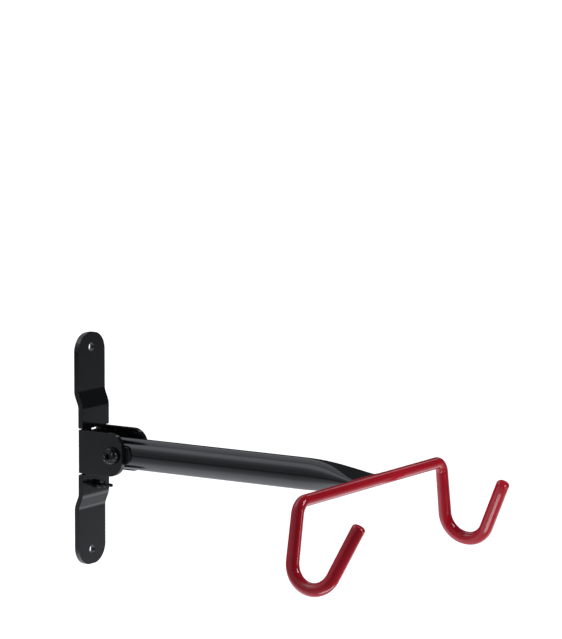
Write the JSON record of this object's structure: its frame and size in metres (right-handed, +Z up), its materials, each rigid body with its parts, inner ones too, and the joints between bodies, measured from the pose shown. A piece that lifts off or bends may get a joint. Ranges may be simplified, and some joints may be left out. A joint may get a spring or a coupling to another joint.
{
  "type": "folding wall bike hanger",
  "caption": "Wall bike hanger with a slim steel wall strip and a tube arm that folds up about a bolt and ends in a red coated double hook for a bicycle frame.",
  "frame": {"origin": "middle of the wall strip, on the wall plane", "axes": "+Z up, +Y into the wall, the arm points to -Y when it is down, +X to the right seen from the front"},
  "size_m": [0.3084, 0.4154, 0.24],
  "materials": {
    "black_paint": "gloss black powder coat",
    "black_bolt": "blackened steel",
    "zinc_steel": "zinc plated",
    "blue_nylon": "nylon",
    "black_plastic": "satin",
    "bare_steel": "bare drawn rod",
    "red_vinyl": "gloss dipped vinyl"
  },
  "bodies": {
    "wall_bracket": {"wall_plate": "black_paint", "catch_stud": "black_paint", "pivot_bolt": "black_bolt", "nut_washer": "zinc_steel", "pivot_nut": "zinc_steel", "nut_insert": "blue_nylon"},
    "arm": {"arm_tube": "black_paint", "pivot_sleeve": "zinc_steel", "saddle_spacer_left": "black_plastic", "saddle_spacer_right": "black_plastic", "yoke_rod": "bare_steel", "vinyl_coating": "red_vinyl"}
  },
  "joints": [
    {"name": "fold", "type": "hinge", "parent": "wall_bracket", "child": "arm", "pos_m": [0, -0.0465, -0.0006], "axis": [-1, 0, 0], "range_deg": [0, 90]}
  ]
}
